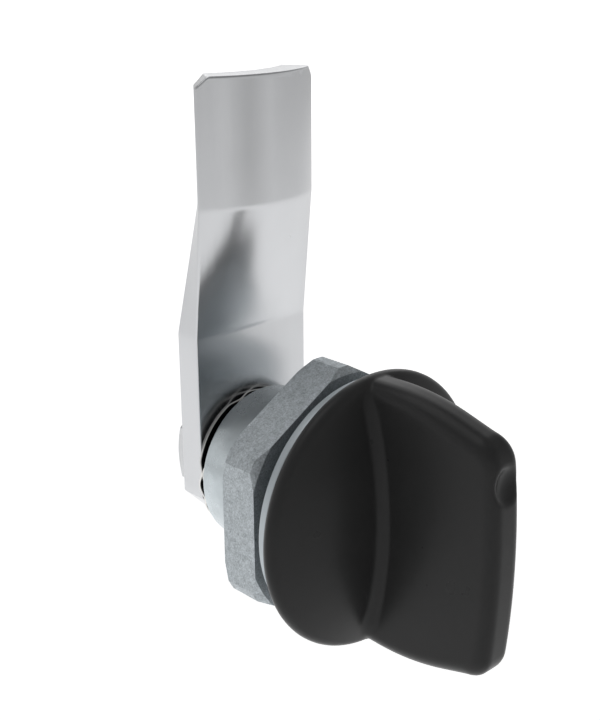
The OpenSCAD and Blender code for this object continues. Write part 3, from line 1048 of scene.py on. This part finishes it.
# %% [markdown]
# ## Studio
# The latch floats above a pale floor, as it would in its panel. Polished metal has no look of its own:
# it shows what stands around it. So a cloth tent stands around the latch, paler near the floor and
# darker overhead, and gives barrel, nut and cam their soft shades. A low grey card in front darkens
# the middle of the cam's curved end. Three broad lamps hang under the roof, at the back left and at
# the back right, and throw a soft shadow. Tent, card and lamps are hidden from the camera, which sees
# a white background behind them.

# %% Floor
floor_gap = 0.05
floor_half = 6.0
floor_z = cad_low[2] - floor_gap
floor_bm = bmesh.new()
bmesh.ops.create_grid(floor_bm, x_segments=4, y_segments=4, size=floor_half)
bmesh.ops.translate(floor_bm, verts=floor_bm.verts, vec=(0, 0, floor_z))
floor = bpy.data.objects.new("floor", to_mesh(floor_bm, "floor"))
bpy.context.scene.collection.objects.link(floor)
print(f"floor: {2 * floor_half:.0f} m wide, {floor_z / MM:.1f} mm high")


# %% Paints of the studio
def glowing_paint(name, grey, roughness=1.0):
    """A matt paint that glows white, by a strength that is linked later."""
    made, tree, shader = new_material(name)
    shader.inputs["Base Color"].default_value = (grey, grey, grey, 1)
    shader.inputs["Roughness"].default_value = roughness
    shader.inputs["Emission Color"].default_value = (1, 1, 1, 1)
    return made, tree, shader


def larger(tree, first, second):
    """The larger of two values."""
    made = node(tree, "ShaderNodeMath", operation="MAXIMUM")
    tree.links.new(first, made.inputs[0])
    tree.links.new(second, made.inputs[1])
    return made.outputs[0]


# %% Paint of the floor
# The lamps light the floor most near the latch. What it lacks in white it adds for the camera, and for
# reflections a pool of glow around the latch.
floor_paint, tree, shader = glowing_paint("floor paint", grey=0.8, roughness=0.9)
shader.inputs["Specular IOR Level"].default_value = 0.1
place = node(tree, "ShaderNodeTexCoord")
from_latch = node(tree, "ShaderNodeVectorMath", operation="DISTANCE")
from_latch.inputs[1].default_value = (0, 0, floor_z)
tree.links.new(place.outputs["Object"], from_latch.inputs[0])
added_white = faded(tree, from_latch.outputs["Value"], near=0.6, far=0.9, reach=1.2)
pool = faded(tree, from_latch.outputs["Value"], near=0.76, far=0.1, reach=1.0)
path = node(tree, "ShaderNodeLightPath")
clear = larger(tree, path.outputs["Is Camera Ray"], path.outputs["Is Transmission Ray"])
mirrored = scaled(tree, path.outputs["Is Glossy Ray"], pool, 0.0)
glow = scaled(tree, clear, added_white, mirrored)
tree.links.new(glow, shader.inputs["Emission Strength"])
give_finish(floor, floor_paint)

# %% Cloth tent
tent_profile = [(1.6, floor_z), (1.6, 0.45), (1.3, 0.8), (0.7, 1.0), (0.0, 1.05)]
tent_step = 7.5
tent_bm = bmesh.new()
tent_rings = [
    [tent_bm.verts.new((r * math.cos(a), r * math.sin(a), z)) for r, z in tent_profile]
    for a in np.radians(np.arange(0, 360, tent_step))
]
for ring, following in zip(tent_rings, tent_rings[1:] + tent_rings[:1]):
    for k in range(len(tent_profile) - 1):
        tent_bm.faces.new((ring[k], following[k], following[k + 1], ring[k + 1]))
bmesh.ops.remove_doubles(tent_bm, verts=tent_bm.verts, dist=weld)
tent = bpy.data.objects.new("tent", to_mesh(tent_bm, "tent"))
bpy.context.scene.collection.objects.link(tent)
tent.visible_camera = False
print(f"tent: {len(tent.data.polygons)} faces")

# %% Glow of the tent
tent_cloth, tree, shader = glowing_paint("tent cloth", grey=0.3)
place = node(tree, "ShaderNodeTexCoord")
split = node(tree, "ShaderNodeSeparateXYZ")
tree.links.new(place.outputs["Object"], split.inputs["Vector"])
fade = faded(tree, split.outputs["Z"], near=0.6, far=0.12, reach=0.9)
tree.links.new(fade, shader.inputs["Emission Strength"])
give_finish(tent, tent_cloth)

# %% Grey card
card_half = 0.25
card_height = 0.1
card_turn = 14
card_bm = bmesh.new()
card_corners = ((-card_half, 0), (card_half, 0), (card_half, card_height), (-card_half, card_height))
card_bm.faces.new([card_bm.verts.new((x, 0, z)) for x, z in card_corners])
card = bpy.data.objects.new("grey_card", to_mesh(card_bm, "card"))
bpy.context.scene.collection.objects.link(card)
card.location = (0.11, -0.44, floor_z)
card.rotation_euler = (0, 0, math.radians(card_turn))
card.visible_camera = False
print(f"grey card: {2 * card_half:.2f} m wide")

# %% Paint of the card, darkest in its middle
card_paint, tree, shader = glowing_paint("card paint", grey=0.3)
place = node(tree, "ShaderNodeTexCoord")
sideways = node(tree, "ShaderNodeVectorMath", operation="MULTIPLY")
sideways.inputs[1].default_value = (1, 0, 0)
tree.links.new(place.outputs["Object"], sideways.inputs[0])
off_middle = node(tree, "ShaderNodeVectorMath", operation="LENGTH")
tree.links.new(sideways.outputs["Vector"], off_middle.inputs[0])
soft_ends = faded(tree, off_middle.outputs["Value"], near=0.22, far=0.6, reach=card_half)
tree.links.new(soft_ends, shader.inputs["Emission Strength"])
give_finish(card, card_paint)

# %% World and lamps
scene = bpy.context.scene
world = bpy.data.worlds.new("studio")
world.use_nodes = True
scene.world = world
sky = world.node_tree.nodes["Background"]
sky.inputs["Color"].default_value = (1, 1, 1, 1)
sky.inputs["Strength"].default_value = 1.0
lamp_aim = Vector((0, 0, 0.015))


def softbox(name, place, size, power):
    """A broad lamp that looks at the latch."""
    lamp = bpy.data.lights.new(name, "AREA")
    lamp.shape = "RECTANGLE"
    lamp.size, lamp.size_y = size
    lamp.energy = power
    holder = bpy.data.objects.new(name, lamp)
    scene.collection.objects.link(holder)
    holder.location = place
    holder.visible_camera = False
    holder.rotation_euler = (lamp_aim - Vector(place)).to_track_quat("-Z", "Y").to_euler()
    print(f"{name}: {size[0]:.2f} by {size[1]:.2f} m, {power:.1f} W")


softbox("roof lamp", place=(-0.2, 0.3, 0.85), size=(0.6, 0.6), power=1.3)
softbox("low lamp", place=(-0.78, 0.83, 0.38), size=(1.2, 0.75), power=0.5)
softbox("right lamp", place=(0.55, 0.55, 0.5), size=(0.8, 0.7), power=1.5)

# %% [markdown]
# ## Camera
# The camera's place comes from the photograph's perspective: the edges of nut, flange and cam were
# fitted to it, in the latch's own frame.

# %% Camera
image_h = 720
focal_px = 1246.97
sensor = 36
azimuth, elevation, roll = -43.253, 19.5, -0.414
target = Vector((-2.978, 7.090, 18.396)) * MM
distance = 159.26 * MM

a, e, r = (math.radians(v) for v in (azimuth, elevation, roll))
back = Vector((math.sin(a) * math.cos(e), -math.cos(a) * math.cos(e), math.sin(e)))
level = Vector((math.cos(a), math.sin(a), 0))
upright = back.cross(level)
right = math.cos(r) * level + math.sin(r) * upright
up = -math.sin(r) * level + math.cos(r) * upright
camera = bpy.data.objects.new("camera", bpy.data.cameras.new("camera"))
scene.collection.objects.link(camera)
turned_to_view = Matrix((right, up, back)).transposed().to_4x4()
camera.matrix_world = Matrix.Translation(target + back * distance) @ turned_to_view
camera.data.sensor_width = sensor
camera.data.lens = focal_px / image_h * sensor
camera.data.clip_start = 0.005
scene.camera = camera
scene.view_settings.view_transform = "Standard"
print(f"camera: {camera.data.lens:.2f} mm lens at {np.round(np.array(camera.location) / MM, 1)} mm")
